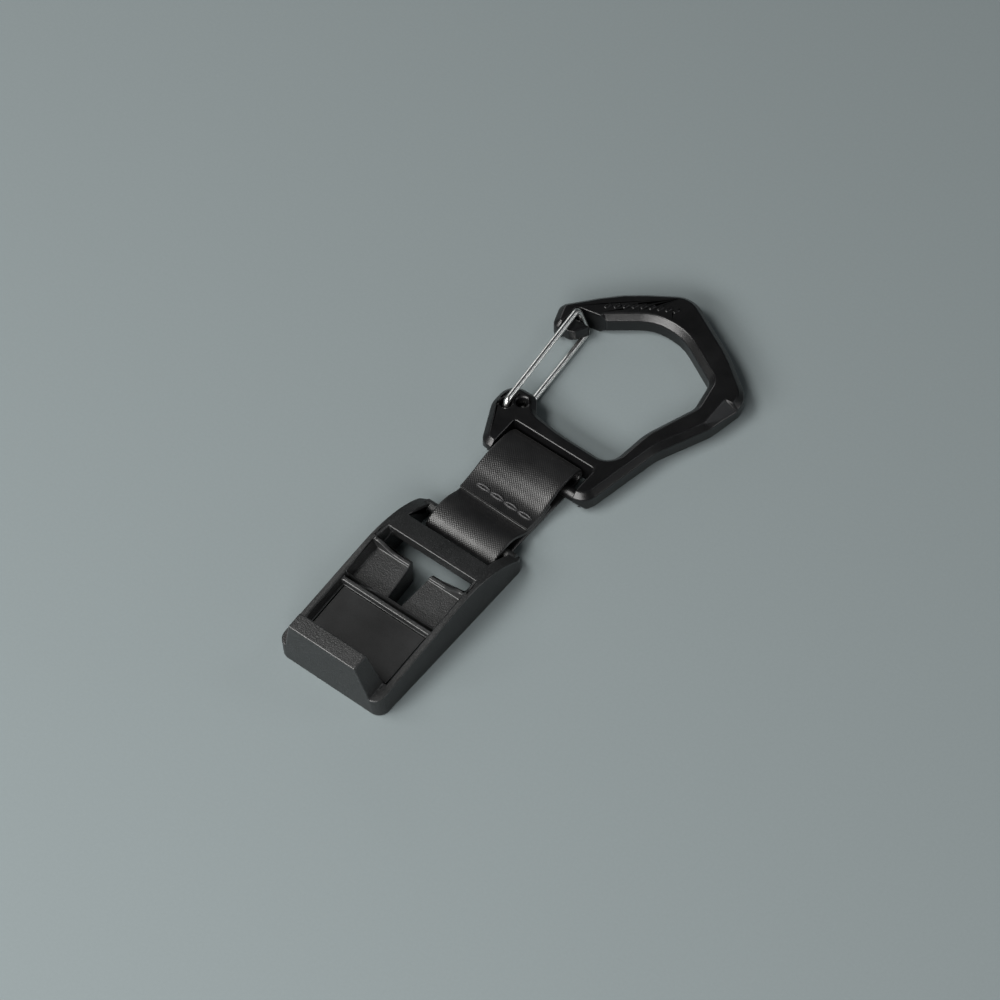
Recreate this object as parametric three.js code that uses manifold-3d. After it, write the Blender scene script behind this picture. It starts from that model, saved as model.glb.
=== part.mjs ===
// Key organiser: a magnetic key dock and a wire-gate carabiner joined by a sewn webbing strap.
// Millimetres, +Z up, lying flat on the plane Z = 0. X runs across the strap and Y along it.
// Shapes are laid out from the dock's front bottom edge, on its centre line; the last group
// moves the whole object so that its origin is the centre of its footprint.

import * as THREE from 'three';
import { mergeVertices } from 'three/addons/utils/BufferGeometryUtils.js';
import Module from 'manifold-3d';

const wasm = await Module();
wasm.setup();

// ---- driving dimensions ----------------------------------------------------------------

const footprintCentre = [3.33, 66.9];     // centre of the footprint, from the dock's front edge
const arcStep = THREE.MathUtils.degToRad(10);  // turn between two points of a round stretch
const slideGap = 0.3;                     // clearance around a piece set into another

const dock = {
  pitch: THREE.MathUtils.degToRad(7.5),   // the tray tilts, front edge low
  length: 53,
  frontLean: 0.12,                        // how far the front leans out per millimetre of height
  halfWidth: 14.9,                        // at the base
  draft: 0.06,                            // how much each side leans in per millimetre of height
  cornerRadius: 2.8,
  rimHeight: 6.3,                         // above the tilted datum, as all heights in the tray
  rimHalfGap: 12.9,                       // from the centre line to the rim's inner edge
  wallLean: 0.33,                         // how much the tray's walls lean out per millimetre
  crownStart: 31,                         // where the straight rim turns into the crown's arc
  crownRadius: 27.6,
};

const tab = {
  top: 18, topHalfWidth: 9.45, topEnd: 4.5, foot: 6.0, footHalfWidth: 12.1, footEnd: 5.63,
};

const floor = { height: 3.9, start: 5.6, end: 21.0 };
const rib = { height: 5.5, start: 21.0, end: 22.2 };
const ledge = { height: 3.2, start: 23.1, end: 34.3, slotNear: 1.9, slotFar: 2.9 };
const core = { start: 24.2, end: 32.2, top: 4.6, wall: 1.2, rib: 1.8 };
const lip = { start: 33.2, low: 3.7, high: 6.1, flatHalf: 7, highHalf: 12 };
const crossSlot = { start: 34.3, end: 38.3, halfWidth: 11.6 };
const webBar = { end: 44, underside: [[38.3, 1.6], [41.4, 0.4], [44, -1.2]], halfWidth: 12.2 };
const strapBar = { y: 51.3, z: 2.95, radius: 1.4 };

const panel = { start: 6.4, end: 20.7, halfWidth: 11.7, thickness: 1.0 };
const magnet = { size: [8, 9, 1.5], x: 5.4, y: 13.4 };

const strap = { left: -9.4, right: 10.4, thickness: 1.0, top: 4.55, under: 1.3 };
const upperLoop = { y: 78.1, z: 2.7, radius: 2.15 };
const lowerLoop = { y: 49.2, z: 2.95, radius: 2.35 };
const stitch = { count: 4, first: -4.6, pitch: 4.0, y: 62.0, length: 3.2, width: 1.2, height: 0.36 };

const clip = {
  thickness: 6.5,
  chamfer: 1.5,
  barRadius: 1.5,
  barY: 74.3,
  barZ: 2.7,
  slotLeft: -10,
  slotRight: 13.6,
  slotTop: 81.1,
  footTip: 72,
  footUndercut: [2.5, 3.6],               // how far the feet's tips are cut back, and how high
};

const facet = { slope: 0.56, starts: [[25.6, 107.2], [18.5, 82.2]], ends: [[25.3, 116.0], [20.3, 95.0]] };
const tick = { count: 9, first: [-13.0, 121.4], last: [0.9, 130.2], rise: 0.7, size: [0.42, 1.5, 0.24] };

const wire = {
  radius: 0.75,
  topZ: 7.3,                              // axis of the leg that runs over the frame
  lowZ: 0.8,                              // axis of the leg that runs under it
  topPivot: [-14.4, 83.5],
  lowPivot: [-12.1, 86.6],
  topEnd: [-17.7, 115.8],
  lowEnd: [-14.6, 115.9],
  bend: 1.6,
  pinDepth: 3.0,
  opening: THREE.MathUtils.degToRad(28),
};

// ---- materials -------------------------------------------------------------------------

const mouldedNylon = new THREE.MeshStandardMaterial({ color: 0x2a2b2b, roughness: 0.62 });
const satinNylon = new THREE.MeshStandardMaterial({ color: 0x141515, roughness: 0.5 });
const smoothPanel = new THREE.MeshStandardMaterial({ color: 0x1c1d1d, roughness: 0.45 });
const webbing = new THREE.MeshStandardMaterial({ color: 0x1a1a1b, roughness: 0.75 });
const thread = new THREE.MeshStandardMaterial({ color: 0x0c0c0d, roughness: 0.8 });
const steel = new THREE.MeshStandardMaterial({ color: 0xb9bcbc, roughness: 0.22, metalness: 1 });

// ---- helpers ---------------------------------------------------------------------------

/** A closed geometry as a manifold solid, with its shared vertices merged. */
function solidOf(geometry) {
  const bare = geometry.clone();
  bare.deleteAttribute('normal');
  bare.deleteAttribute('uv');
  const merged = mergeVertices(bare, 1e-4);
  return new wasm.Manifold(new wasm.Mesh({
    numProp: 3,
    vertProperties: new Float32Array(merged.getAttribute('position').array),
    triVerts: new Uint32Array(merged.getIndex().array),
  }));
}

/** A manifold solid back as a three.js geometry. */
function geometryOf(solid) {
  const { vertProperties, triVerts } = solid.getMesh();
  const geometry = new THREE.BufferGeometry();
  geometry.setAttribute('position', new THREE.BufferAttribute(vertProperties, 3));
  geometry.setIndex(new THREE.BufferAttribute(triVerts, 1));
  geometry.computeVertexNormals();
  return geometry;
}

/** A closed outline through corners [x, y, radius], each rounded by an arc of its radius. */
function roundedOutline(corners) {
  const origin = new THREE.Vector2();
  const vector = ([x, y]) => new THREE.Vector2(x, y);
  return corners.flatMap((entry, index) => {
    const corner = vector(entry);
    const radius = entry[2] ?? 0;
    if (radius === 0) return [corner];
    const back = vector(corners.at(index - 1)).sub(corner).normalize();
    const ahead = vector(corners[(index + 1) % corners.length]).sub(corner).normalize();
    const half = Math.acos(back.dot(ahead)) / 2;
    const reach = radius / Math.tan(half);
    const toCentre = back.clone().add(ahead).normalize().multiplyScalar(radius / Math.sin(half));
    const centre = corner.clone().add(toCentre);
    const start = back.multiplyScalar(reach).sub(toCentre);
    const end = ahead.multiplyScalar(reach).sub(toCentre);
    const sweep = Math.atan2(start.cross(end), start.dot(end));
    const steps = Math.max(1, Math.ceil(Math.abs(sweep) / arcStep));
    return Array.from({ length: steps + 1 }, (_, step) =>
      start.clone().rotateAround(origin, (sweep * step) / steps).add(centre));
  });
}

/** A vertical prism of a plan outline between two heights. */
function planPrism(outline, low, high) {
  const shape = new THREE.Shape(outline);
  const geometry = new THREE.ExtrudeGeometry(shape, { depth: high - low, bevelEnabled: false });
  return geometry.translate(0, 0, low);
}

/** A prism of a side outline, whose points are (along Y, up Z), between two places on X. */
function sidePrism(outline, left, right) {
  const shape = new THREE.Shape(outline);
  const geometry = new THREE.ExtrudeGeometry(shape, { depth: right - left, bevelEnabled: false });
  const axes = new THREE.Matrix4().makeBasis(
    new THREE.Vector3(0, 1, 0), new THREE.Vector3(0, 0, 1), new THREE.Vector3(1, 0, 0));
  return geometry.applyMatrix4(axes).translate(left, 0, 0);
}

/** A prism of an end-on outline, whose points are (along X, up Z), between two places on Y. */
function endPrism(outline, start, end) {
  const shape = new THREE.Shape(outline);
  const geometry = new THREE.ExtrudeGeometry(shape, { depth: end - start, bevelEnabled: false });
  const axes = new THREE.Matrix4().makeBasis(
    new THREE.Vector3(1, 0, 0), new THREE.Vector3(0, 0, 1), new THREE.Vector3(0, -1, 0));
  return geometry.applyMatrix4(axes).translate(0, end, 0);
}

/** A box given by its ranges on X, Y and Z. */
function box([left, right], [start, end], [low, high]) {
  const geometry = new THREE.BoxGeometry(right - left, end - start, high - low);
  return geometry.translate((left + right) / 2, (start + end) / 2, (low + high) / 2);
}

/** A round bar along X. */
function crossBar(left, right, y, z, radius) {
  const geometry = new THREE.CylinderGeometry(radius, radius, right - left, 36);
  return geometry.rotateZ(Math.PI / 2).translate((left + right) / 2, y, z);
}

/** A geometry given in the tray's tilted frame, turned into the world's. */
function tilted(geometry) {
  return geometry.rotateX(dock.pitch);
}

/** A point of the tray's tilted frame, in the world's Y and Z. */
function tiltedPoint(y, z) {
  const cosine = Math.cos(dock.pitch);
  const sine = Math.sin(dock.pitch);
  return new THREE.Vector2(y * cosine - z * sine, y * sine + z * cosine);
}

function pair(x, y) {
  return new THREE.Vector2(x, y);
}

function namedMesh(name, geometry, material) {
  const mesh = new THREE.Mesh(geometry, material);
  mesh.name = name;
  return mesh;
}

// ---- the dock --------------------------------------------------------------------------

/** The dock's side view: straight tilted rim, then the crown's arc to the tail. */
function dockSideOutline() {
  const before = -3;
  const crown = tiltedPoint(dock.crownStart, dock.rimHeight);
  const centre = tiltedPoint(dock.crownStart, dock.rimHeight - dock.crownRadius);
  const startAngle = Math.PI / 2 + dock.pitch;
  const tailAngle = Math.acos((dock.length - 0.25 - centre.x) / dock.crownRadius);
  const steps = Math.ceil((startAngle - tailAngle) / (arcStep / 2));
  const arc = Array.from({ length: steps }, (_, step) => {
    const angle = startAngle + ((tailAngle - startAngle) * (step + 1)) / steps;
    return pair(
      centre.x + dock.crownRadius * Math.cos(angle),
      centre.y + dock.crownRadius * Math.sin(angle));
  });
  const tail = arc.at(-1);
  return [
    pair(before, 0), tiltedPoint(before, dock.rimHeight), crown, ...arc,
    pair(dock.length, tail.y - 0.6), pair(dock.length, 0.5), pair(dock.length - 0.4, 0),
  ];
}

/** The dock's block before the tray is cut: the side view across, cut to a rounded plan. */
function dockBlank() {
  const half = dock.halfWidth;
  const radius = dock.cornerRadius;
  const across = solidOf(sidePrism(dockSideOutline(), -half - 1, half + 1));
  const front = -0.02;
  const plan = planPrism(roundedOutline([
    [-half, front, radius], [half, front, radius],
    [half, dock.length, radius], [-half, dock.length, radius],
  ]), -1, 12);
  const position = plan.getAttribute('position');
  for (let index = 0; index < position.count; index += 1) {
    const rise = position.getZ(index);
    position.setX(index, position.getX(index) * (1 - (dock.draft * rise) / half));
    if (position.getY(index) < dock.length / 2) {
      position.setY(index, position.getY(index) - rise * dock.frontLean);
    }
  }
  return across.intersect(solidOf(plan));
}

/** A trough in the tray, open at the top, whose side walls lean out as they rise. */
function trough(start, end, bottom) {
  const top = dock.rimHeight + 6;
  const half = (height) => dock.rimHalfGap + (height - dock.rimHeight) * dock.wallLean;
  return solidOf(tilted(endPrism([
    pair(-half(bottom), bottom), pair(half(bottom), bottom),
    pair(half(top), top), pair(-half(top), top),
  ], start, end)));
}

/** The upright end tab: a block that narrows upward. Its front is trimmed with the dock's. */
function tabBlock() {
  const block = new THREE.BoxGeometry(2, 1, 1).translate(0, 0.5, 0.5);
  const position = block.getAttribute('position');
  for (let index = 0; index < position.count; index += 1) {
    const side = position.getX(index);
    const back = position.getY(index);
    const rise = position.getZ(index);
    const half = THREE.MathUtils.lerp(tab.footHalfWidth, tab.topHalfWidth, rise);
    const end = THREE.MathUtils.lerp(tab.footEnd, tab.topEnd, rise);
    position.setXYZ(
      index, side * half,
      THREE.MathUtils.lerp(-2, end, back), THREE.MathUtils.lerp(tab.foot, tab.top, rise));
  }
  return solidOf(tilted(block));
}

/** The lip on the ledges' far edge: low across the middle, sweeping up at both walls. */
function lipBlock() {
  const steps = 8;
  const sweep = Array.from({ length: steps + 1 }, (_, step) => {
    const share = step / steps;
    const rise = (1 - Math.cos(Math.PI * share)) / 2;
    return pair(
      THREE.MathUtils.lerp(lip.flatHalf, lip.highHalf, share),
      THREE.MathUtils.lerp(lip.low, lip.high, rise));
  });
  const right = [...sweep, pair(dock.rimHalfGap + 0.4, lip.high)];
  const left = right.map((point) => pair(-point.x, point.y)).reverse();
  const outer = dock.rimHalfGap + 0.4;
  const outline = [pair(-outer, 1), pair(outer, 1), ...right.reverse(), ...left.reverse()];
  return solidOf(tilted(endPrism(outline, lip.start, ledge.end)));
}

/** The slot between the two ledges, a little wider toward the strap, open to the ground. */
function centreSlot() {
  const start = ledge.start + 0.7;
  const end = crossSlot.end - 1;
  return solidOf(planPrism(
    [
      pair(-ledge.slotNear, start), pair(ledge.slotNear, start),
      pair(ledge.slotFar, ledge.end), pair(ledge.slotFar, end),
      pair(-ledge.slotFar, end), pair(-ledge.slotFar, ledge.end),
    ], -2, 12));
}

/** The web bar between the cross slot and the strap slot, flush with the crown on top. */
function webBarSolid() {
  const underside = webBar.underside.map(([y, z]) => pair(y, z));
  const above = 12;
  const block = sidePrism(
    [...underside, pair(webBar.end, above), pair(crossSlot.end, above)],
    -webBar.halfWidth, webBar.halfWidth);
  return dockBlank().intersect(solidOf(tilted(block)));
}

/** Everything above the ground and behind the dock's leaning front face. */
function dockRoom() {
  const high = 30;
  return solidOf(sidePrism(
    [pair(0, 0), pair(60, 0), pair(60, high), pair(-high * dock.frontLean, high)], -20, 20));
}

function dockFrame() {
  const cavityHalf = crossSlot.halfWidth;
  const ribSolid = solidOf(tilted(box([-13.1, 13.1], [rib.start, rib.end], [1, rib.height])));
  const strapSlotEnd = strapBar.y + strapBar.radius + 3;
  let body = dockBlank();
  body = body.subtract(trough(floor.start, ledge.start, floor.height));
  body = body.subtract(trough(rib.end, ledge.start, ledge.height - 0.8));
  body = body.subtract(trough(ledge.start, crossSlot.end, ledge.height));
  body = body.subtract(solidOf(box(
    [-cavityHalf, cavityHalf], [tiltedPoint(crossSlot.start, 0).x + 0.1, strapSlotEnd], [-1, 12])));
  body = body.add(ribSolid);
  body = body.add(lipBlock());
  body = body.subtract(centreSlot());
  body = body.add(webBarSolid());
  body = body.add(solidOf(crossBar(-13, 13, strapBar.y, strapBar.z, strapBar.radius)));
  body = body.add(tabBlock());
  body = body.intersect(dockRoom());
  body = body.subtract(solidOf(tilted(panelBlock(slideGap))));
  for (const side of [-1, 1]) body = body.subtract(solidOf(tilted(magnetBlock(side, slideGap))));
  for (const side of [-1, 1]) body = body.subtract(solidOf(ledgeCore(side)));
  return geometryOf(body);
}

/** The hollow under a ledge, open below, that keeps the moulding's walls even. */
function ledgeCore(side) {
  const near = side * (ledge.slotFar + core.rib);
  const far = side * (dock.rimHalfGap - core.wall);
  return box([Math.min(near, far), Math.max(near, far)], [core.start, core.end], [-1, core.top]);
}

/** The panel's block in the tray's tilted frame; a gap over zero gives its pocket. */
function panelBlock(gap) {
  const half = panel.halfWidth + gap;
  const low = floor.height - panel.thickness - gap;
  const high = gap > 0 ? floor.height + 2 : floor.height;
  return box([-half, half], [panel.start - gap, panel.end + Math.min(gap, 0.25)], [low, high]);
}

/** One bar magnet's block in the tilted frame; a gap over zero gives its pocket. */
function magnetBlock(side, gap) {
  const [width, length, depth] = magnet.size;
  const high = floor.height - panel.thickness - slideGap;
  return box(
    [side * magnet.x - width / 2 - gap, side * magnet.x + width / 2 + gap],
    [magnet.y - length / 2 - gap, magnet.y + length / 2 + gap],
    [high - depth - gap, gap > 0 ? high + 0.5 : high]);
}

// ---- the strap -------------------------------------------------------------------------

/** Points on a loop's circle, from one angle in degrees to another. */
function loopArc({ y, z, radius }, from, to) {
  const start = THREE.MathUtils.degToRad(from);
  const sweep = THREE.MathUtils.degToRad(to - from);
  const steps = Math.ceil(Math.abs(sweep) / arcStep);
  return Array.from({ length: steps + 1 }, (_, step) => {
    const angle = start + (sweep * step) / steps;
    return pair(y + radius * Math.cos(angle), z + radius * Math.sin(angle));
  });
}

/** The webbing's middle line in the side view, from its cut end on top to its hidden end. */
function strapLine() {
  const over = [[59.5, 4.1], [62, 4.05], [65.5, 4.15], [69, 4.6], [72.5, 4.9]];
  const back = [[72, 0.58], [69.5, 1.0], [66, 1.65], [62, 1.8], [58.5, 1.7], [55, 1.2], [52, 0.7]];
  const under = [
    [51.6, 5.3], [53.6, 4.75], [55.6, 4.0], [57.4, 3.35], [59.4, 3.0],
    [62, 2.92], [65.5, 2.95], [68.5, 3.1],
  ];
  const points = (entries) => entries.map(([y, z]) => pair(y, z));
  return [
    ...points(over), ...loopArc(upperLoop, 92, -90), ...points(back),
    ...loopArc(lowerLoop, -92, -262), ...points(under),
  ];
}

/** The webbing strip: its middle line given half its thickness on each side. */
function strapStrip() {
  const line = strapLine();
  const half = strap.thickness / 2;
  const side = (sign) => line.map((point, index) => {
    const before = line[Math.max(index - 1, 0)];
    const after = line[Math.min(index + 1, line.length - 1)];
    const along = after.clone().sub(before).normalize();
    return pair(point.x - sign * half * along.y, point.y + sign * half * along.x);
  });
  return sidePrism([...side(1), ...side(-1).reverse()], strap.left, strap.right);
}

/** One visible stitch: a flat lens of thread lying on the webbing. */
function stitchLens(x, y, z) {
  const lens = new THREE.SphereGeometry(0.5, 10, 6).rotateX(Math.PI / 2);
  return lens.scale(stitch.length, stitch.width, stitch.height).translate(x, y, z);
}

// ---- the carabiner ---------------------------------------------------------------------

/** The frame's C-shaped plan: ear, opening, nose, then round the outside back to the ear. */
const clipOutline = [
  [-12.9, 72.0, 3.4], [-18.0, 82.7, 6.0], [-18.0, 90.3, 4.4], [-10.4, 90.3, 3.0],
  [-7.2, 86.0, 4.0], [0.5, 85.1, 20], [14.8, 85.0, 4.0], [16.0, 97.0, 15], [20.8, 110.2, 4.0],
  [19.3, 118.6, 3.0], [6.4, 125.5, 13], [-2.0, 125.5, 11], [-11.2, 118.3], [-10.4, 109.4, 2.0],
  [-20.8, 109.8, 2.0], [-22.9, 115.7, 3.0], [-13.1, 127.5, 40], [0.9, 137.1, 7.0],
  [18.5, 127.9, 25], [29.7, 119.5, 6.5], [27.4, 107.8, 8.0], [21.5, 94.6, 14], [17.1, 72.0, 4.6],
];

/** The chamfered slab of the C-shaped plan. */
function clipSlab() {
  const geometry = new THREE.ExtrudeGeometry(new THREE.Shape(roundedOutline(clipOutline)), {
    depth: clip.thickness - 2 * clip.chamfer,
    bevelThickness: clip.chamfer,
    bevelSize: clip.chamfer,
    bevelOffset: -clip.chamfer,
    bevelSegments: 1,
  });
  return solidOf(geometry.translate(0, 0, clip.chamfer));
}

/** The middle of a wire pin's small sweep in its hole, and so the hole's centre. */
function holeCentre(pivot) {
  const [x, y] = gateAxis;
  return pair(pivot[0], pivot[1]).rotateAround(pair(x, y), -wire.opening / 2);
}

const gateAxis = [
  (wire.topPivot[0] + wire.lowPivot[0]) / 2,
  (wire.topPivot[1] + wire.lowPivot[1]) / 2,
];

/** A pin hole right through the ear, countersunk on the top face. */
function earHole(pivot) {
  const centre = holeCentre(pivot);
  const bore = 1.35;
  const mouth = 1.75;
  const sink = 0.5;
  const top = clip.thickness;
  const profile = [
    pair(0, -1), pair(bore, -1), pair(bore, top - sink), pair(mouth, top), pair(mouth, top + 1),
    pair(0, top + 1),
  ];
  const geometry = new THREE.LatheGeometry(profile, 28);
  return solidOf(geometry.rotateX(Math.PI / 2).translate(centre.x, centre.y, 0));
}

/** What is cut from the nose: round the hook block, the notch for the bend, room for the legs. */
function noseCuts() {
  const open = -4;
  const left = -18.85;
  const wall = [[-11.25, 118.42], [open, 118.42]];
  const aside = roundedOutline([
    ...wall, [open, 100], [left, 100], [left, 110.5], [-16.4, 110.5, 0.8], [-15.1, 111.4, 0.8],
    [-13.4, 114.4], [-13.4, 117.0],
  ]);
  const notch = roundedOutline([
    [left, 114.6, 1.1], [open, 114.6], [open, 118.42], [-11.25, 118.42], [left, 116.8, 1.1],
  ]);
  const legRoom = roundedOutline([
    [left, 100], [open, 100], [open, 118.42], [-11.25, 118.42], [left, 116.8, 1.1],
  ]);
  const through = solidOf(planPrism(notch, -1, 9)).add(solidOf(planPrism(aside, -1, 9)));
  const above = solidOf(planPrism(legRoom, 5.2, 9));
  const below = solidOf(planPrism(legRoom, -1, 1.7));
  return through.add(above).add(below);
}

/** What is cut under the tips of the feet, so that their front ends are blunt wedges. */
function footUndercuts() {
  const [back, high] = clip.footUndercut;
  const lean = back / high;
  return solidOf(sidePrism([
    pair(clip.footTip - 4, -1), pair(clip.footTip + back + lean, -1),
    pair(clip.footTip, high), pair(clip.footTip - 4, high),
  ], -30, 30));
}

/** A flat shaved on the outer top edge, between two places on the plan. */
function edgeFacet(start, end) {
  const from = pair(...start);
  const run = pair(...end).sub(from);
  const reach = 4;
  const top = clip.thickness;
  const wedge = endPrism([
    pair(0, top), pair(reach, top - reach * facet.slope), pair(reach, top + 1), pair(0, top + 1),
  ], 0, run.length());
  return solidOf(wedge.rotateZ(run.angle() - Math.PI / 2).translate(from.x, from.y, 0));
}

/** One raised slanted tick of the plain grip row on the upper arm. */
function gripTick(share) {
  const [width, length, height] = tick.size;
  const x = THREE.MathUtils.lerp(tick.first[0], tick.last[0], share);
  const y = THREE.MathUtils.lerp(tick.first[1], tick.last[1], share);
  const bow = tick.rise * 4 * share * (1 - share);
  const block = new THREE.BoxGeometry(width, length, 2 * height);
  return solidOf(block.rotateZ(-Math.PI / 12).translate(x, y + bow, clip.thickness));
}

/** The room under the ear for the lower leg, over the whole of its swing. */
function earRelief() {
  return solidOf(planPrism(roundedOutline([
    [-14.6, 84.2, 1.2], [-9.0, 84.2, 1.2], [-2, 92], [-14.6, 92],
  ]), -1, 1.75));
}

function clipFrame() {
  const { slotLeft, slotRight, slotTop, barY, barZ, barRadius } = clip;
  const slot = planPrism(roundedOutline([
    [slotLeft, 60], [slotRight, 60], [slotRight, slotTop, 1.2], [slotLeft, slotTop, 0.6],
  ]), -1, 9);
  let body = clipSlab().subtract(solidOf(slot)).subtract(footUndercuts());
  body = body.add(solidOf(crossBar(slotLeft - 1.5, slotRight + 1.5, barY, barZ, barRadius)));
  body = body.subtract(noseCuts());
  body = body.subtract(earRelief());
  body = body.subtract(earHole(wire.topPivot)).subtract(earHole(wire.lowPivot));
  facet.starts.forEach((start, index) => {
    body = body.subtract(edgeFacet(start, facet.ends[index]));
  });
  for (let index = 0; index < tick.count; index += 1) {
    body = body.add(gripTick(index / (tick.count - 1)));
  }
  return geometryOf(body);
}

/** The wire gate's line: a pin, the upper leg, the bend in the notch, the lower leg, a pin. */
function gateLine() {
  const corners = [
    [...wire.topPivot, wire.topZ - wire.pinDepth], [...wire.topPivot, wire.topZ],
    [...wire.topEnd, wire.topZ], [...wire.lowEnd, wire.lowZ],
    [...wire.lowPivot, wire.lowZ], [...wire.lowPivot, wire.lowZ + wire.pinDepth],
  ].map((entry) => new THREE.Vector3(...entry));
  const path = new THREE.CurvePath();
  let last = corners[0];
  for (let index = 1; index < corners.length - 1; index += 1) {
    const corner = corners[index];
    const back = corners[index - 1].clone().sub(corner).setLength(wire.bend);
    const ahead = corners[index + 1].clone().sub(corner).setLength(wire.bend);
    const into = corner.clone().add(back);
    const out = corner.clone().add(ahead);
    path.add(new THREE.LineCurve3(last, into));
    path.add(new THREE.QuadraticBezierCurve3(into, corner, out));
    last = out;
  }
  path.add(new THREE.LineCurve3(last, corners.at(-1)));
  return path;
}

function wireGate() {
  const sides = 10;
  const section = Array.from({ length: sides }, (_, index) => {
    const angle = (2 * Math.PI * index) / sides;
    return pair(wire.radius * Math.cos(angle), wire.radius * Math.sin(angle));
  });
  return new THREE.ExtrudeGeometry(new THREE.Shape(section), {
    extrudePath: gateLine(), steps: 110, bevelEnabled: false,
  });
}

// ---- the assembly ----------------------------------------------------------------------

const organiser = new THREE.Group();
organiser.position.set(-footprintCentre[0], -footprintCentre[1], 0);

organiser.add(namedMesh('dock_frame', dockFrame(), mouldedNylon));
organiser.add(namedMesh('dock_floor_panel', tilted(panelBlock(0)), smoothPanel));
organiser.add(namedMesh('magnet_left', tilted(magnetBlock(-1, 0)), steel));
organiser.add(namedMesh('magnet_right', tilted(magnetBlock(1, 0)), steel));
organiser.add(namedMesh('webbing_strap', strapStrip(), webbing));
organiser.add(namedMesh('carabiner_frame', clipFrame(), satinNylon));
organiser.add(namedMesh('wire_gate', wireGate(), steel));

for (let index = 0; index < stitch.count; index += 1) {
  const x = stitch.first + index * stitch.pitch;
  const lift = stitch.height / 2 + 0.03;
  const top = stitchLens(x, stitch.y, strap.top + lift);
  const under = stitchLens(x, stitch.y, strap.under - lift);
  organiser.add(namedMesh(`stitch_top_${index + 1}`, top, thread));
  organiser.add(namedMesh(`stitch_under_${index + 1}`, under, thread));
}

export default organiser;
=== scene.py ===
"""The looks of the key organiser: moulded dock, woven strap, moulded carabiner and steel wire gate.

Lengths are metres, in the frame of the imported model. Shapes are laid out in millimetres from the
dock's front edge, on its centre line, and `placed` turns them into metres in the model's frame.
"""

import math

import bmesh
import bpy
import numpy as np
from bpy.props import FloatProperty, FloatVectorProperty, IntProperty, PointerProperty
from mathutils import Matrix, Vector


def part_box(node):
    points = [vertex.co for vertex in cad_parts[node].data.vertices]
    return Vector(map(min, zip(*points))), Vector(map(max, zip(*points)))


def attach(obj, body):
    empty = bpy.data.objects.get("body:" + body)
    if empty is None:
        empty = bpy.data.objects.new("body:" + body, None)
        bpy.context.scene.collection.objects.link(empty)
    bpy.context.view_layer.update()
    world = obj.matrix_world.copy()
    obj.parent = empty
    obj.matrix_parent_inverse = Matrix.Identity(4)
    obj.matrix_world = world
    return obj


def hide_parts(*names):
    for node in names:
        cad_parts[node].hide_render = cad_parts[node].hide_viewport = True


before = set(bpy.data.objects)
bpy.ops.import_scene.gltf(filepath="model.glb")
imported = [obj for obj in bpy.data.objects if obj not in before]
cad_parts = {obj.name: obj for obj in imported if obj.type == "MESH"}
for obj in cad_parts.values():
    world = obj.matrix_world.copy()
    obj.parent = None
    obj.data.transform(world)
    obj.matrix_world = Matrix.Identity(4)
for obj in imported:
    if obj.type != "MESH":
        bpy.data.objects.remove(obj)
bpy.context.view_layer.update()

bl_info = {
    "name": "Key organiser looks",
    "version": (1, 0, 0),
    "blender": (4, 5, 0),
    "location": "3D View > Sidebar > Key organiser",
    "description": "Builds the visible surfaces, materials and stage of a key organiser",
    "category": "Object",
}

MM = 0.001
DOCK_LOW, DOCK_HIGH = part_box("dock_frame")
STRAP_LOW, STRAP_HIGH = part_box("webbing_strap")
DOCK_LENGTH = 53.0
START_X = (DOCK_LOW.x + DOCK_HIGH.x) / 2
START_Y = DOCK_HIGH.y - DOCK_LENGTH * MM
CREASE = math.radians(28)     # edges sharper than this are eased
FLAT = math.radians(0.5)      # faces that meet flatter than this are one face
WELD = 0.004 * MM             # points nearer than this are one point
EASE_STEPS = 3                # flats across one rounded edge
FLAT_WEIGHT = 90              # how strongly large faces keep their own normals
STITCH_REACH = 1.92           # half a stitch's length, in millimetres
STITCH_GAPE = 0.46            # half the opening between its two strands, in millimetres
STITCH_RADIUS = 0.29          # radius of one strand, in millimetres


# ---- sizes and colours that a user would change ------------------------------------------

class PlasticLook(bpy.types.PropertyGroup):
    """Colour and grain of the moulded pieces."""
    dock_colour: FloatVectorProperty(
        name="Dock colour", description="Base colour of the dock's moulding",
        subtype="COLOR", size=3, default=(0.0115, 0.0120, 0.0122))
    carabiner_colour: FloatVectorProperty(
        name="Carabiner colour", description="Base colour of the carabiner's moulding",
        subtype="COLOR", size=3, default=(0.0026, 0.0026, 0.0028))
    panel_colour: FloatVectorProperty(
        name="Panel colour", description="Base colour of the smooth panel in the tray",
        subtype="COLOR", size=3, default=(0.0062, 0.0066, 0.0070))
    ease: FloatProperty(
        name="Edge ease", description="Width of the rounding on the moulded edges",
        subtype="DISTANCE", unit="LENGTH", default=0.30 * MM, min=0.0)
    grain: FloatProperty(
        name="Grain size", description="Size of one grain of the moulded texture",
        subtype="DISTANCE", unit="LENGTH", default=0.34 * MM, min=0.05 * MM)


class StrapLook(bpy.types.PropertyGroup):
    """Size, weave and colour of the webbing and its seam."""
    colour: FloatVectorProperty(
        name="Webbing colour", description="Base colour of the webbing's yarn",
        subtype="COLOR", size=3, default=(0.0048, 0.0048, 0.0051))
    thread_colour: FloatVectorProperty(
        name="Thread colour", description="Base colour of the sewing thread",
        subtype="COLOR", size=3, default=(0.020, 0.020, 0.021))
    thickness: FloatProperty(
        name="Webbing thickness", description="Thickness of one ply",
        subtype="DISTANCE", unit="LENGTH", default=0.92 * MM, min=0.2 * MM)
    yarn: FloatProperty(
        name="Yarn pitch", description="Distance between two yarns of the weave",
        subtype="DISTANCE", unit="LENGTH", default=0.34 * MM, min=0.1 * MM)
    stitches: IntProperty(
        name="Stitches", description="Number of stitches that show on each face",
        default=4, min=1)


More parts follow.
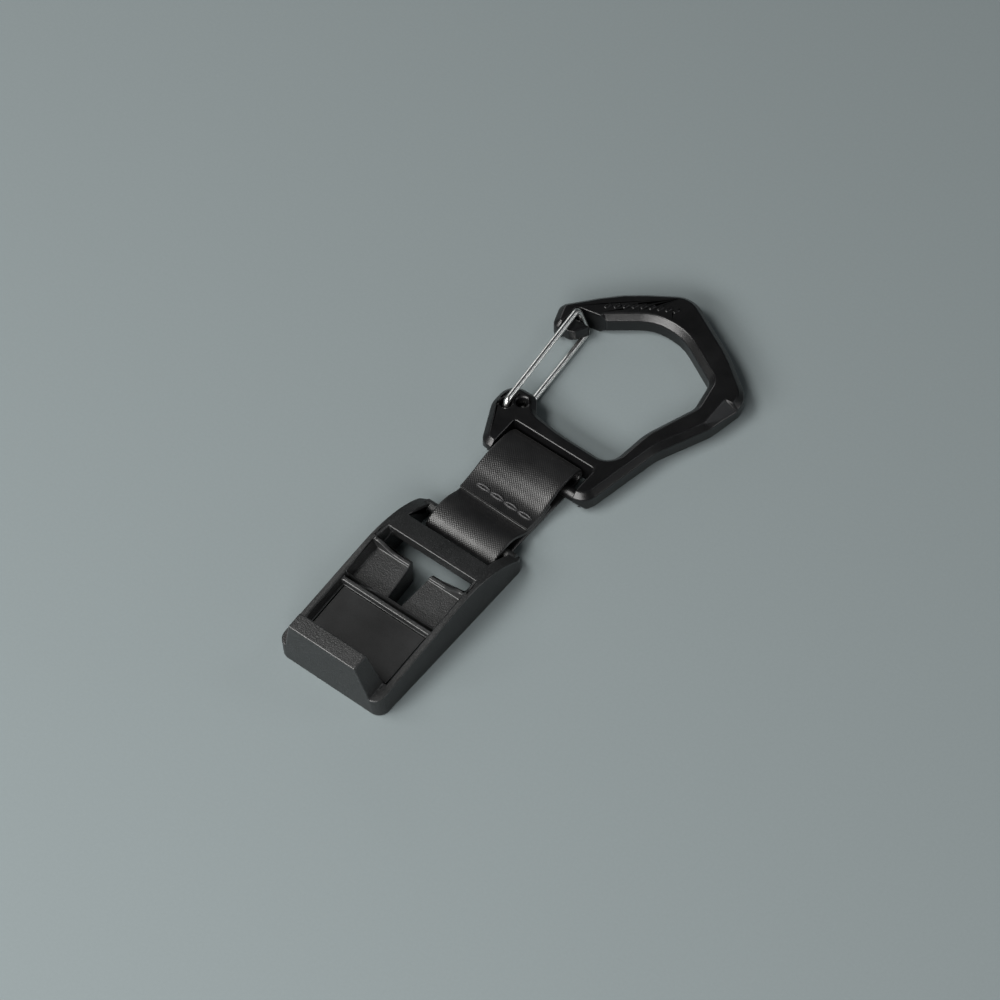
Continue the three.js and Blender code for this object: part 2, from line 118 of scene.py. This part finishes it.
class WireLook(bpy.types.PropertyGroup):
    """Size and colour of the wire gate."""
    colour: FloatVectorProperty(
        name="Steel colour", description="Reflection colour of the drawn steel",
        subtype="COLOR", size=3, default=(0.86, 0.86, 0.84))
    radius: FloatProperty(
        name="Wire radius", description="Radius of the wire",
        subtype="DISTANCE", unit="LENGTH", default=0.75 * MM, min=0.2 * MM)


class StageLook(bpy.types.PropertyGroup):
    """Floor, light and camera."""
    floor_colour: FloatVectorProperty(
        name="Floor colour", description="Colour of the plain floor",
        subtype="COLOR", size=3, default=(0.200, 0.232, 0.238))
    azimuth: FloatProperty(
        name="Azimuth", description="Camera's turn from looking along +Y",
        subtype="ANGLE", unit="ROTATION", default=math.radians(37.8))
    elevation: FloatProperty(
        name="Elevation", description="Camera's height angle above the floor",
        subtype="ANGLE", unit="ROTATION", default=math.radians(54.3))
    distance: FloatProperty(
        name="Distance", description="Camera's distance from the aim point",
        subtype="DISTANCE", unit="LENGTH", default=0.9767)
    lens: FloatProperty(
        name="Lens", description="Focal length in millimetres on a 36 mm sensor", default=151.2)


# ---- mesh helpers --------------------------------------------------------------------------

def placed(points):
    """Points in millimetres from the dock's front edge, as metres in the model's frame."""
    points = np.asarray(points, dtype=float) * MM
    return points + np.array([START_X, START_Y, 0.0])


def new_piece(name, vertices, faces, material, uv=None, smooth=True):
    """An object at the origin from vertex and face lists, with one material and one UV map."""
    mesh = bpy.data.meshes.new(name)
    mesh.from_pydata(np.asarray(vertices).tolist(), [], faces)
    mesh.update()
    if uv is not None:
        layer = mesh.uv_layers.new(name="UVMap")
        corners = np.empty(len(mesh.loops), dtype=np.int32)
        mesh.loops.foreach_get("vertex_index", corners)
        layer.data.foreach_set("uv", np.asarray(uv)[corners].ravel())
    mesh.polygons.foreach_set("use_smooth", np.full(len(mesh.polygons), smooth))
    mesh.materials.append(material)
    piece = bpy.data.objects.new(name, mesh)
    bpy.context.scene.collection.objects.link(piece)
    return piece


def ring_faces(stations, around, start=0):
    """Quads of a closed tube whose vertices are `stations` rings of `around` points each."""
    ring = np.arange(around)
    step = np.arange(stations - 1)[:, None] * around
    a = start + step + ring
    b = start + step + (ring + 1) % around
    quads = np.stack([a, b, b + around, a + around], axis=-1).reshape(-1, 4)
    return quads.tolist()


def frames_along(path):
    """Unit tangents and a twist-free pair of normals along a path.

    The tangent is the path's central difference. The first normal is carried from point to
    point by taking away its part along the new tangent, so it never spins about the path.
    """
    tangents = np.gradient(path, axis=0)
    tangents /= np.linalg.norm(tangents, axis=1, keepdims=True)
    guess = np.array([0.0, 0.0, 1.0]) if abs(tangents[0, 2]) < 0.9 else np.array([1.0, 0.0, 0.0])
    normals = np.empty_like(path)
    for index, tangent in enumerate(tangents):
        guess = guess - tangent * guess.dot(tangent)
        guess /= np.linalg.norm(guess)
        normals[index] = guess
    return tangents, normals, np.cross(tangents, normals)


def tube(path, radii, around=20):
    """Vertices, faces and UVs of a round tube: each ring is radius * (cos, sin) in the normal plane.

    The two ends close with a point in the middle of the end ring.
    """
    path = np.asarray(path, dtype=float)
    radii = np.broadcast_to(radii, (len(path),))
    _, normal, side = frames_along(path)
    angle = np.linspace(0.0, 2.0 * np.pi, around, endpoint=False)
    ring = (np.cos(angle)[None, :, None] * normal[:, None, :]
            + np.sin(angle)[None, :, None] * side[:, None, :])
    vertices = (path[:, None, :] + radii[:, None, None] * ring).reshape(-1, 3)
    vertices = np.vstack([vertices, path[:1], path[-1:]])
    faces = ring_faces(len(path), around)
    first, last = len(vertices) - 2, len(vertices) - 1
    base = (len(path) - 1) * around
    faces += [[first, (index + 1) % around, index] for index in range(around)]
    faces += [[last, base + index, base + (index + 1) % around] for index in range(around)]
    length = np.concatenate([[0.0], np.cumsum(np.linalg.norm(np.diff(path, axis=0), axis=1))])
    along = np.repeat(length, around)
    turn = np.tile(angle / (2.0 * np.pi), len(path))
    uv = np.vstack([np.column_stack([along, turn]), [[0.0, 0.0], [length[-1], 0.0]]])
    return vertices, faces, uv


def smooth_path(points, step):
    """A Catmull-Rom curve through the points, resampled at an even step along its length."""
    points = np.asarray(points, dtype=float)
    padded = np.vstack([2 * points[0] - points[1], points, 2 * points[-1] - points[-2]])
    t = np.linspace(0.0, 1.0, 24, endpoint=False)[:, None]
    before, start, end, after = padded[:-3], padded[1:-2], padded[2:-1], padded[3:]
    pieces = 0.5 * (
        2 * start[:, None] + (end - before)[:, None] * t
        + (2 * before - 5 * start + 4 * end - after)[:, None] * t ** 2
        + (3 * start - before - 3 * end + after)[:, None] * t ** 3)
    dense = np.vstack([pieces.reshape(-1, points.shape[1]), points[-1:]])
    length = np.concatenate([[0.0], np.cumsum(np.linalg.norm(np.diff(dense, axis=0), axis=1))])
    even = np.linspace(0.0, length[-1], max(2, int(round(length[-1] / step)) + 1))
    return np.column_stack([np.interp(even, length, column) for column in dense.T])


def eased_copy(node, name, material, edge_material, ease, whole_faces=True):
    """A CAD node's shape with its sharp edges rounded by a narrow bevel in its own material.

    Flat faces are first made whole, unless they are pierced by holes. The normals are weighted
    by face area at the end, so flat faces stay flat beside the rounding.
    """
    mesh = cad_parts[node].data.copy()
    mesh.name = name
    if mesh.has_custom_normals:
        mesh.attributes.remove(mesh.attributes["custom_normal"])
    solid = bmesh.new()
    solid.from_mesh(mesh)
    bmesh.ops.remove_doubles(solid, verts=solid.verts, dist=WELD)
    bmesh.ops.dissolve_degenerate(solid, edges=solid.edges, dist=WELD)
    if whole_faces:
        bmesh.ops.dissolve_limit(
            solid, angle_limit=FLAT, verts=solid.verts, edges=solid.edges)
    solid.to_mesh(mesh)
    solid.free()
    mesh.materials.clear()
    mesh.materials.append(material)
    mesh.materials.append(edge_material)
    mesh.polygons.foreach_set("material_index", np.zeros(len(mesh.polygons), dtype=np.int32))
    mesh.polygons.foreach_set("use_smooth", np.full(len(mesh.polygons), True))
    piece = bpy.data.objects.new(name, mesh)
    bpy.context.scene.collection.objects.link(piece)
    bevel = piece.modifiers.new("Eased edges", "BEVEL")
    bevel.width = ease
    bevel.segments = EASE_STEPS
    bevel.limit_method = "ANGLE"
    bevel.angle_limit = CREASE
    bevel.use_clamp_overlap = False
    # The bevel's faces take the second material, which the callers make lighter: a painted highlight
    # along the edges.
    bevel.material = 1
    bevel.loop_slide = False
    weighted = piece.modifiers.new("Flat faces", "WEIGHTED_NORMAL")
    weighted.weight = FLAT_WEIGHT
    return piece


# ---- material helpers ------------------------------------------------------------------

class Nodes:
    """A short way to lay out a material's nodes."""

    def __init__(self, name):
        self.material = bpy.data.materials.new(name)
        self.material.use_nodes = True
        self.tree = self.material.node_tree
        self.shader = self.tree.nodes["Principled BSDF"]

    def add(self, kind, **settings):
        node = self.tree.nodes.new(kind)
        for key, value in settings.items():
            setattr(node, key, value)
        return node

    def link(self, output, target):
        self.tree.links.new(output, target)

    def noise(self, coordinates, scale, detail=3.0, roughness=0.55):
        node = self.add("ShaderNodeTexNoise")
        node.inputs["Scale"].default_value = scale
        node.inputs["Detail"].default_value = detail
        node.inputs["Roughness"].default_value = roughness
        self.link(coordinates, node.inputs["Vector"])
        return node.outputs["Fac"]

    def ramp(self, factor, low, high, start=0.0, end=1.0):
        node = self.add("ShaderNodeMapRange")
        node.inputs["From Min"].default_value = start
        node.inputs["From Max"].default_value = end
        node.inputs["To Min"].default_value = low
        node.inputs["To Max"].default_value = high
        self.link(factor, node.inputs["Value"])
        return node.outputs["Result"]

    def math(self, operation, first, second=None):
        node = self.add("ShaderNodeMath", operation=operation)
        for socket, value in zip(node.inputs, (first, second)):
            if isinstance(value, (int, float)):
                socket.default_value = value
            elif value is not None:
                self.link(value, socket)
        return node.outputs["Value"]

    def mixed_colour(self, factor, first, second):
        node = self.add("ShaderNodeMix", data_type="RGBA")
        node.inputs["A"].default_value = (*first, 1.0)
        node.inputs["B"].default_value = (*second, 1.0)
        self.link(factor, node.inputs["Factor"])
        return node.outputs["Result"]

    def blend(self, factor, first, second):
        node = self.add("ShaderNodeMix", data_type="RGBA")
        self.link(first, node.inputs["A"])
        node.inputs["B"].default_value = (*second, 1.0)
        self.link(factor, node.inputs["Factor"])
        return node.outputs["Result"]

    def bump(self, height, distance, strength=1.0, under=None):
        node = self.add("ShaderNodeBump")
        node.inputs["Distance"].default_value = distance
        node.inputs["Strength"].default_value = strength
        self.link(height, node.inputs["Height"])
        if under is not None:
            self.link(under, node.inputs["Normal"])
        return node.outputs["Normal"]

    def object_coordinates(self):
        return self.add("ShaderNodeTexCoord").outputs["Object"]

    def uv(self):
        return self.add("ShaderNodeUVMap", uv_map="UVMap").outputs["UV"]


def scaled(colour, factor):
    return tuple(channel * factor for channel in colour)


def moulded_plastic(name, colour, grain, depth, roughness, glint_brightness):
    """Moulded nylon: a pebbled grain, mottling, painted glints as small light specks, and uneven gloss.
    """
    nodes = Nodes(name)
    place = nodes.object_coordinates()
    pebbles = nodes.noise(place, 1.0 / grain, detail=2.0, roughness=0.5)
    cloud = nodes.noise(place, 1.0 / (26 * grain), detail=3.0)
    fine = nodes.noise(place, 3.2 / grain, detail=1.0)
    glint_noise = nodes.noise(place, 1.1 / grain, detail=3.0, roughness=0.7)
    tone = nodes.math("ADD", nodes.math("MULTIPLY", pebbles, 0.6), nodes.math("MULTIPLY", cloud, 0.4))
    shade = nodes.ramp(tone, 0.0, 1.0, 0.35, 0.65)
    # Painted glints: sparse light specks mixed into the base colour, bright under any lamp.
    glint_mask = nodes.ramp(glint_noise, 0.0, 1.0, 0.57, 0.72)
    tint = nodes.mixed_colour(shade, scaled(colour, 0.55), scaled(colour, 1.50))
    nodes.link(nodes.blend(glint_mask, tint, scaled(colour, glint_brightness)), nodes.shader.inputs["Base Color"])
    gloss = nodes.math("ADD", nodes.math("MULTIPLY", fine, 0.5), nodes.math("MULTIPLY", cloud, 0.5))
    nodes.link(
        nodes.ramp(gloss, roughness - 0.08, roughness + 0.10, 0.3, 0.7),
        nodes.shader.inputs["Roughness"])
    under = nodes.bump(fine, depth * 0.35)
    nodes.link(nodes.bump(pebbles, depth, under=under), nodes.shader.inputs["Normal"])
    return nodes.material


def woven_webbing(name, colour, yarn):
    """Tight plain weave: a sine along the UV times a sine across it, in metres, over soft ribs."""
    nodes = Nodes(name)
    split = nodes.add("ShaderNodeSeparateXYZ")
    nodes.link(nodes.uv(), split.inputs["Vector"])
    wave = math.pi / yarn
    along = nodes.math("SINE", nodes.math("MULTIPLY", split.outputs["X"], wave))
    across = nodes.math("SINE", nodes.math("MULTIPLY", split.outputs["Y"], wave))
    crossing = nodes.math("MULTIPLY", along, across)
    place = nodes.object_coordinates()
    fuzz = nodes.noise(place, 4200.0, detail=2.0)
    cloud = nodes.noise(place, 140.0, detail=3.0)
    height = nodes.math("ADD", nodes.math("MULTIPLY", crossing, 0.5), nodes.math(
        "MULTIPLY", fuzz, 0.6))
    shade = nodes.ramp(height, 0.0, 1.0, -0.4, 1.0)
    nodes.link(
        nodes.mixed_colour(shade, scaled(colour, 0.45), scaled(colour, 1.55)),
        nodes.shader.inputs["Base Color"])
    nodes.link(nodes.ramp(cloud, 0.34, 0.46, 0.3, 0.7), nodes.shader.inputs["Roughness"])
    nodes.link(nodes.bump(height, 0.030 * MM), nodes.shader.inputs["Normal"])
    nodes.shader.inputs["Sheen Weight"].default_value = 0.05
    nodes.shader.inputs["Sheen Roughness"].default_value = 0.35
    nodes.shader.inputs["Specular IOR Level"].default_value = 0.75
    return nodes.material


def twisted_thread(name, colour):
    """Sewing thread: ply ridges wind round the UV's length and turn."""
    nodes = Nodes(name)
    split = nodes.add("ShaderNodeSeparateXYZ")
    nodes.link(nodes.uv(), split.inputs["Vector"])
    twist = nodes.math("ADD", nodes.math("MULTIPLY", split.outputs["X"], 9000.0),
                       nodes.math("MULTIPLY", split.outputs["Y"], 6.0 * math.pi))
    ridge = nodes.math("ABSOLUTE", nodes.math("SINE", twist))
    fuzz = nodes.noise(nodes.object_coordinates(), 9000.0, detail=2.0)
    height = nodes.math("ADD", ridge, nodes.math("MULTIPLY", fuzz, 0.4))
    nodes.link(
        nodes.mixed_colour(nodes.ramp(height, 0.0, 1.0, 0.1, 1.2), scaled(colour, 0.5),
                           scaled(colour, 1.8)),
        nodes.shader.inputs["Base Color"])
    nodes.link(nodes.ramp(fuzz, 0.32, 0.48), nodes.shader.inputs["Roughness"])
    nodes.link(nodes.bump(height, 0.04 * MM), nodes.shader.inputs["Normal"])
    nodes.shader.inputs["Specular IOR Level"].default_value = 0.6
    return nodes.material


def drawn_steel(name, colour):
    """Drawn wire: bright metal with fine lines along its length and a few handling marks."""
    nodes = Nodes(name)
    stretch = nodes.add("ShaderNodeMapping")
    stretch.inputs["Scale"].default_value = (260.0, 26.0, 1.0)
    nodes.link(nodes.uv(), stretch.inputs["Vector"])
    lines = nodes.noise(stretch.outputs["Vector"], 1.0, detail=4.0)
    marks = nodes.noise(nodes.object_coordinates(), 700.0, detail=4.0)
    nodes.link(
        nodes.mixed_colour(nodes.ramp(marks, 0.0, 1.0, 0.35, 0.65), scaled(colour, 0.92),
                           scaled(colour, 1.06)),
        nodes.shader.inputs["Base Color"])
    nodes.link(nodes.ramp(lines, 0.20, 0.34, 0.3, 0.7), nodes.shader.inputs["Roughness"])
    nodes.link(nodes.bump(lines, 0.004 * MM), nodes.shader.inputs["Normal"])
    nodes.shader.inputs["Metallic"].default_value = 1.0
    return nodes.material


def floor_paint(name, colour):
    """Plain matt paper: even colour with the faintest tooth."""
    nodes = Nodes(name)
    place = nodes.object_coordinates()
    tooth = nodes.noise(place, 1400.0, detail=3.0)
    nodes.link(
        nodes.mixed_colour(nodes.ramp(tooth, 0.0, 1.0, 0.3, 0.7), scaled(colour, 0.985),
                           scaled(colour, 1.015)),
        nodes.shader.inputs["Base Color"])
    nodes.link(nodes.bump(tooth, 0.01 * MM), nodes.shader.inputs["Normal"])
    nodes.shader.inputs["Roughness"].default_value = 0.9
    nodes.shader.inputs["Specular IOR Level"].default_value = 0.15
    return nodes.material


# ---- the strap's shape ---------------------------------------------------------------------

STRAP_LEFT = (STRAP_LOW.x - START_X) / MM
STRAP_RIGHT = (STRAP_HIGH.x - START_X) / MM
SEAM_Y = 62.3

# The webbing's middle line from its cut end on top to its hidden end: the place along Y, the
# height, and how much higher than the middle the right edge lies, all in millimetres.
STRAP_ROUTE = (
    (59.6, 3.55, -0.35), (62.0, 3.45, -0.70), (64.6, 3.75, -0.90), (67.2, 4.60, -0.80),
    (70.0, 5.45, -0.50), (73.0, 5.85, -0.15), (76.0, 5.65, 0.0), (78.7, 4.85, 0.0),
    (80.2, 3.55, 0.0), (80.3, 2.20, 0.0), (79.2, 1.10, 0.0), (77.0, 0.62, 0.0),
    (73.5, 0.62, -0.05), (70.0, 0.95, -0.25), (66.0, 1.30, -0.45), (62.0, 1.45, -0.50),
    (58.5, 1.40, -0.40), (55.0, 1.05, -0.15), (52.0, 0.66, 0.0), (49.6, 0.62, 0.0),
    (47.7, 1.15, 0.0), (46.85, 2.30, 0.0), (47.2, 3.50, 0.0), (48.6, 4.50, 0.0),
    (50.6, 5.10, 0.0), (52.8, 5.30, 0.0), (54.8, 4.90, -0.05), (56.6, 4.00, -0.20),
    (58.4, 3.05, -0.35), (60.4, 2.50, -0.55), (63.0, 2.45, -0.65), (66.0, 2.65, -0.60),
    (68.5, 3.20, -0.45),
)


def strap_line():
    """The route as a smooth curve, at an even step."""
    return smooth_path(STRAP_ROUTE, 0.22)


def strap_surface(thickness, half_width, middle_x):
    """The webbing: a flat section with round edges carried along the strap's middle line.

    Across the width, the section's half thickness is even up to the selvedge and then falls as
    the square root of a circle. Each station is lifted in proportion to X by the route's roll.
    """
    line = strap_line()
    tangent = np.gradient(line[:, :2], axis=0)
    tangent /= np.linalg.norm(tangent, axis=1, keepdims=True)
    up = np.column_stack([-tangent[:, 1], tangent[:, 0]])
    half = thickness / 2
    edge = np.radians(np.linspace(90, -90, 9))
    flat = np.linspace(-(half_width - half), half_width - half, 37)[1:-1]
    right = np.column_stack([half_width - half + half * np.cos(edge), half * np.sin(edge)])
    section = np.vstack([
        right, np.column_stack([flat[::-1], np.full(len(flat), -half)]), -right,
        np.column_stack([flat, np.full(len(flat), half)])])
    rings = np.empty((len(line), len(section), 3))
    rings[:, :, 0] = middle_x + section[None, :, 0]
    rings[:, :, 1] = line[:, None, 0] + section[None, :, 1] * up[:, None, 0]
    rings[:, :, 2] = (line[:, None, 1] + section[None, :, 1] * up[:, None, 1]
                      + line[:, None, 2] * section[None, :, 0] / half_width)
    around = len(section)
    vertices = rings.reshape(-1, 3)
    faces = ring_faces(len(line), around)
    faces.append(list(range(around)))
    faces.append(list(range(len(vertices) - 1, len(vertices) - around - 1, -1)))
    length = np.concatenate([[0.0], np.cumsum(np.linalg.norm(np.diff(line, axis=0), axis=1))])
    uv = np.column_stack([np.repeat(length, around), np.tile(section[:, 0], len(line))]) * MM
    return vertices, faces, uv


def seam_height(x, face, thickness):
    """Height of the strap's outer face at the seam, on top (face 1) or underneath (face -1)."""
    line = strap_line()
    near = np.abs(line[:, 0] - SEAM_Y) < 0.5
    ply = line[near]
    ply = ply[np.argmax(face * ply[:, 1])]
    reach = (STRAP_RIGHT - STRAP_LEFT) / 2
    return ply[1] + face * thickness / 2 + ply[2] * (x - (STRAP_RIGHT + STRAP_LEFT) / 2) / reach


def stitch_surface(x, z, tilt, face):
    """One stitch: two strands that part and meet like an eye, dipping into the webbing at its ends.

    Each strand's offset is half the eye's width times the sine of its share of the length, and its
    height falls at both ends as the fourth power of the distance from the middle.
    """
    share = np.linspace(-1.0, 1.0, 25)
    vertices, faces, uv = [], [], []
    count = 0
    for sign in (-1.0, 1.0):
        path = np.column_stack([
            x + STITCH_REACH * share,
            SEAM_Y + sign * STITCH_GAPE * np.cos(share * np.pi / 2) + 0.10 * share,
            z + tilt * STITCH_REACH * share + face * (0.20 - 0.62 * share ** 4)])
        points, quads, mapped = tube(path, STITCH_RADIUS, around=12)
        vertices.append(points)
        faces += [[index + count for index in quad] for quad in quads]
        uv.append(mapped * np.array([MM, 1.0]))
        count += len(points)
    return np.vstack(vertices), faces, np.vstack(uv)


# ---- the wire's shape ----------------------------------------------------------------------

def gate_corners():
    """The wire's corners in millimetres: pin, upper leg, the bend in the notch, lower leg, pin."""
    return np.array([
        (-14.4, 83.5, 4.3), (-14.4, 83.5, 7.3), (-17.7, 115.8, 7.3),
        (-14.6, 115.9, 0.8), (-12.1, 86.6, 0.8), (-12.1, 86.6, 3.8)])


def rounded_route(corners, reach, step):
    """A path of straight runs, with a quadratic curve of the given reach at each corner."""
    t = np.linspace(0.0, 1.0, 15)[:, None]
    parts = [corners[:1]]
    for before, corner, after in zip(corners, corners[1:], corners[2:]):
        into = corner + (before - corner) / np.linalg.norm(before - corner) * reach
        out = corner + (after - corner) / np.linalg.norm(after - corner) * reach
        parts.append((1 - t) ** 2 * into + 2 * t * (1 - t) * corner + t ** 2 * out)
    parts.append(corners[-1:])
    dense = np.vstack(parts)
    length = np.concatenate([[0.0], np.cumsum(np.linalg.norm(np.diff(dense, axis=0), axis=1))])
    even = np.linspace(0.0, length[-1], int(length[-1] / step))
    return np.column_stack([np.interp(even, length, column) for column in dense.T])


# ---- operators -----------------------------------------------------------------------------

class PieceOperator(bpy.types.Operator):
    """Base of the operators that add a piece."""
    bl_options = {"REGISTER", "UNDO"}


class ORGANISER_OT_dock(PieceOperator):
    """Add the dock's moulding and the smooth panel in its tray"""
    bl_idname = "organiser.dock"
    bl_label = "Add dock"

    def execute(self, context):
        look = context.scene.organiser_plastic
        grained = moulded_plastic("Dock moulding", look.dock_colour, look.grain, 0.11 * MM, 0.44, 6.0)
        # Painted edge highlight: a lighter, glossier copy of the dock's plastic for the eased edges of
        # the dock and its panel.
        painted_edge_highlight = moulded_plastic(
            "Dock painted edge highlight", scaled(look.dock_colour, 1.8), look.grain, 0.02 * MM, 0.27, 3.0)
        body = eased_copy("dock_frame", "dock_moulding", grained, painted_edge_highlight, look.ease)
        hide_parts("dock_frame")
        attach(body, "dock")
        smooth = moulded_plastic("Panel moulding", look.panel_colour, look.grain, 0.012 * MM, 0.42, 2.0)
        panel = eased_copy("dock_floor_panel", "dock_panel", smooth, painted_edge_highlight, look.ease * 0.7)
        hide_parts("dock_floor_panel")
        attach(panel, "dock")
        return {"FINISHED"}


class ORGANISER_OT_magnets(PieceOperator):
    """Give the two hidden bar magnets their plated metal"""
    bl_idname = "organiser.magnets"
    bl_label = "Finish magnets"

    def execute(self, context):
        plated = drawn_steel("Nickel plate", (0.62, 0.60, 0.56))
        for name in ("magnet_left", "magnet_right"):
            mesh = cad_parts[name].data
            mesh.materials.clear()
            mesh.materials.append(plated)
        return {"FINISHED"}


class ORGANISER_OT_strap(PieceOperator):
    """Add the woven strap with its two loops"""
    bl_idname = "organiser.strap"
    bl_label = "Add strap"

    def execute(self, context):
        look = context.scene.organiser_strap
        weave = woven_webbing("Webbing weave", look.colour, look.yarn)
        half = (STRAP_RIGHT - STRAP_LEFT) / 2
        vertices, faces, uv = strap_surface(
            look.thickness / MM, half, (STRAP_RIGHT + STRAP_LEFT) / 2)
        piece = new_piece("strap_webbing", placed(vertices), faces, weave, uv)
        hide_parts("webbing_strap")
        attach(piece, "strap")
        return {"FINISHED"}


class ORGANISER_OT_seam(PieceOperator):
    """Add the seam's stitches on both faces of the strap"""
    bl_idname = "organiser.seam"
    bl_label = "Add seam"

    def execute(self, context):
        look = context.scene.organiser_strap
        twist = twisted_thread("Sewing thread", look.thread_colour)
        for index in range(look.stitches):
            for side, face in (("top", 1.0), ("under", -1.0)):
                node = f"stitch_{side}_{index + 1}"
                low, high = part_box(node)
                x = ((low.x + high.x) / 2 - START_X) / MM
                thickness = look.thickness / MM
                z = seam_height(x, face, thickness)
                tilt = seam_height(x + 0.5, face, thickness) - seam_height(x - 0.5, face, thickness)
                vertices, faces, uv = stitch_surface(x, z, tilt, face)
                piece = new_piece(f"seam_{side}_{index + 1}", placed(vertices), faces, twist, uv)
                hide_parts(node)
                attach(piece, "strap")
        return {"FINISHED"}


class ORGANISER_OT_carabiner(PieceOperator):
    """Add the carabiner's moulding"""
    bl_idname = "organiser.carabiner"
    bl_label = "Add carabiner"

    def execute(self, context):
        look = context.scene.organiser_plastic
        satin = moulded_plastic(
            "Carabiner moulding", look.carabiner_colour, look.grain * 0.9, 0.026 * MM, 0.34, 3.0)
        # Painted edge highlight: a lighter, glossier copy of the carabiner's plastic for its eased
        # edges.
        painted_edge_highlight = moulded_plastic(
            "Carabiner painted edge highlight", scaled(look.carabiner_colour, 2.0), look.grain, 0.01 * MM,
            0.26, 2.0)
        body = eased_copy("carabiner_frame", "carabiner_moulding", satin, painted_edge_highlight, look.ease, False)
        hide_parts("carabiner_frame")
        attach(body, "carabiner")
        return {"FINISHED"}


class ORGANISER_OT_gate(PieceOperator):
    """Add the bent steel wire gate"""
    bl_idname = "organiser.gate"
    bl_label = "Add wire gate"

    def execute(self, context):
        look = context.scene.organiser_wire
        steel = drawn_steel("Drawn steel", look.colour)
        route = rounded_route(gate_corners(), 1.6, 0.25)
        vertices, faces, uv = tube(route, look.radius / MM, around=24)
        piece = new_piece("gate_wire", placed(vertices), faces, steel, uv * np.array([MM, 1.0]))
        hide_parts("wire_gate")
        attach(piece, "gate")
        return {"FINISHED"}


# Each soft light: its name, its direction and distance in metres from the object, its width and
# height in metres, its power in watts and its colour.
LIGHTS = (
    ("High key", (-0.36, -0.42, 0.83), 1.0, (0.52, 0.34), 7.0, (1.0, 0.99, 0.97)),
    ("Front key", (0.0, -0.84, 0.52), 1.0, (1.25, 0.30), 15.0, (1.0, 0.99, 0.98)),
    ("Side glow", (0.52, 0.46, 0.72), 1.3, (0.4, 0.3), 0.8, (0.94, 0.97, 1.0)),
    ("Right strip", (0.88, 0.46, 0.12), 1.0, (0.4, 0.3), 1.1, (1.0, 1.0, 1.0)),
    ("Left strip", (-0.80, 0.46, 0.40), 1.0, (0.3, 0.3), 0.55, (1.0, 1.0, 1.0)),
)


def soft_box(name, towards, distance, size, power, colour, aim):
    """A rectangular soft light that stands off the aim point in a direction and faces it."""
    lamp = bpy.data.lights.new(name, "AREA")
    lamp.shape = "RECTANGLE"
    lamp.size, lamp.size_y = size
    lamp.energy = power
    lamp.color = colour
    holder = bpy.data.objects.new(name, lamp)
    direction = Vector(towards).normalized()
    holder.location = aim + direction * distance
    holder.rotation_euler = direction.to_track_quat("Z", "Y").to_euler()
    bpy.context.scene.collection.objects.link(holder)
    return holder


class ORGANISER_OT_stage(PieceOperator):
    """Add the floor, the soft lights and the camera"""
    bl_idname = "organiser.stage"
    bl_label = "Add stage"

    def execute(self, context):
        look = context.scene.organiser_stage
        aim = Vector(placed([[-1.3, 64.3, 0.0]])[0])
        grid = np.array([[-1.0, -1.0], [1.0, -1.0], [1.0, 1.0], [-1.0, 1.0]]) * 3.0
        corners = np.column_stack([grid, np.full(4, -0.00002)])
        floor = new_piece(
            "floor", corners, [[0, 1, 2, 3]], floor_paint("Floor paint", look.floor_colour),
            smooth=False)
        for light in LIGHTS:
            soft_box(*light, aim)
        world = bpy.data.worlds.new("Studio")
        world.use_nodes = True
        background = world.node_tree.nodes["Background"]
        background.inputs["Color"].default_value = (0.80, 0.88, 0.92, 1.0)
        background.inputs["Strength"].default_value = 0.04
        context.scene.world = world
        camera_data = bpy.data.cameras.new("Camera")
        camera_data.lens = look.lens
        camera_data.sensor_width = 36.0
        camera_data.clip_start = 0.01
        camera_data.clip_end = 20.0
        camera = bpy.data.objects.new("Camera", camera_data)
        toward = Vector((
            math.sin(look.azimuth) * math.cos(look.elevation),
            -math.cos(look.azimuth) * math.cos(look.elevation),
            math.sin(look.elevation)))
        camera.location = aim + toward * look.distance
        camera.rotation_euler = toward.to_track_quat("Z", "Y").to_euler()
        context.scene.collection.objects.link(camera)
        context.scene.camera = camera
        context.scene.view_settings.view_transform = "Standard"
        return {"FINISHED"}


class ORGANISER_PT_panel(bpy.types.Panel):
    """Lists the operators that build the key organiser."""
    bl_idname = "ORGANISER_PT_panel"
    bl_label = "Key organiser"
    bl_space_type = "VIEW_3D"
    bl_region_type = "UI"
    bl_category = "Key organiser"

    def draw(self, context):
        for operator in BUILD_ORDER:
            self.layout.operator(operator.bl_idname)


BUILD_ORDER = (
    ORGANISER_OT_dock, ORGANISER_OT_magnets, ORGANISER_OT_strap, ORGANISER_OT_seam,
    ORGANISER_OT_carabiner, ORGANISER_OT_gate, ORGANISER_OT_stage,
)
GROUPS = {
    "organiser_plastic": PlasticLook,
    "organiser_strap": StrapLook,
    "organiser_wire": WireLook,
    "organiser_stage": StageLook,
}
CLASSES = (*GROUPS.values(), *BUILD_ORDER, ORGANISER_PT_panel)


def register():
    for entry in CLASSES:
        bpy.utils.register_class(entry)
    for name, group in GROUPS.items():
        setattr(bpy.types.Scene, name, PointerProperty(type=group))


def unregister():
    for name in GROUPS:
        delattr(bpy.types.Scene, name)
    for entry in reversed(CLASSES):
        bpy.utils.unregister_class(entry)


def main():
    """Registers the add-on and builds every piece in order."""
    register()
    for operator in BUILD_ORDER:
        group, name = operator.bl_idname.split(".")
        getattr(getattr(bpy.ops, group), name)()


if __name__ == "__main__":
    main()
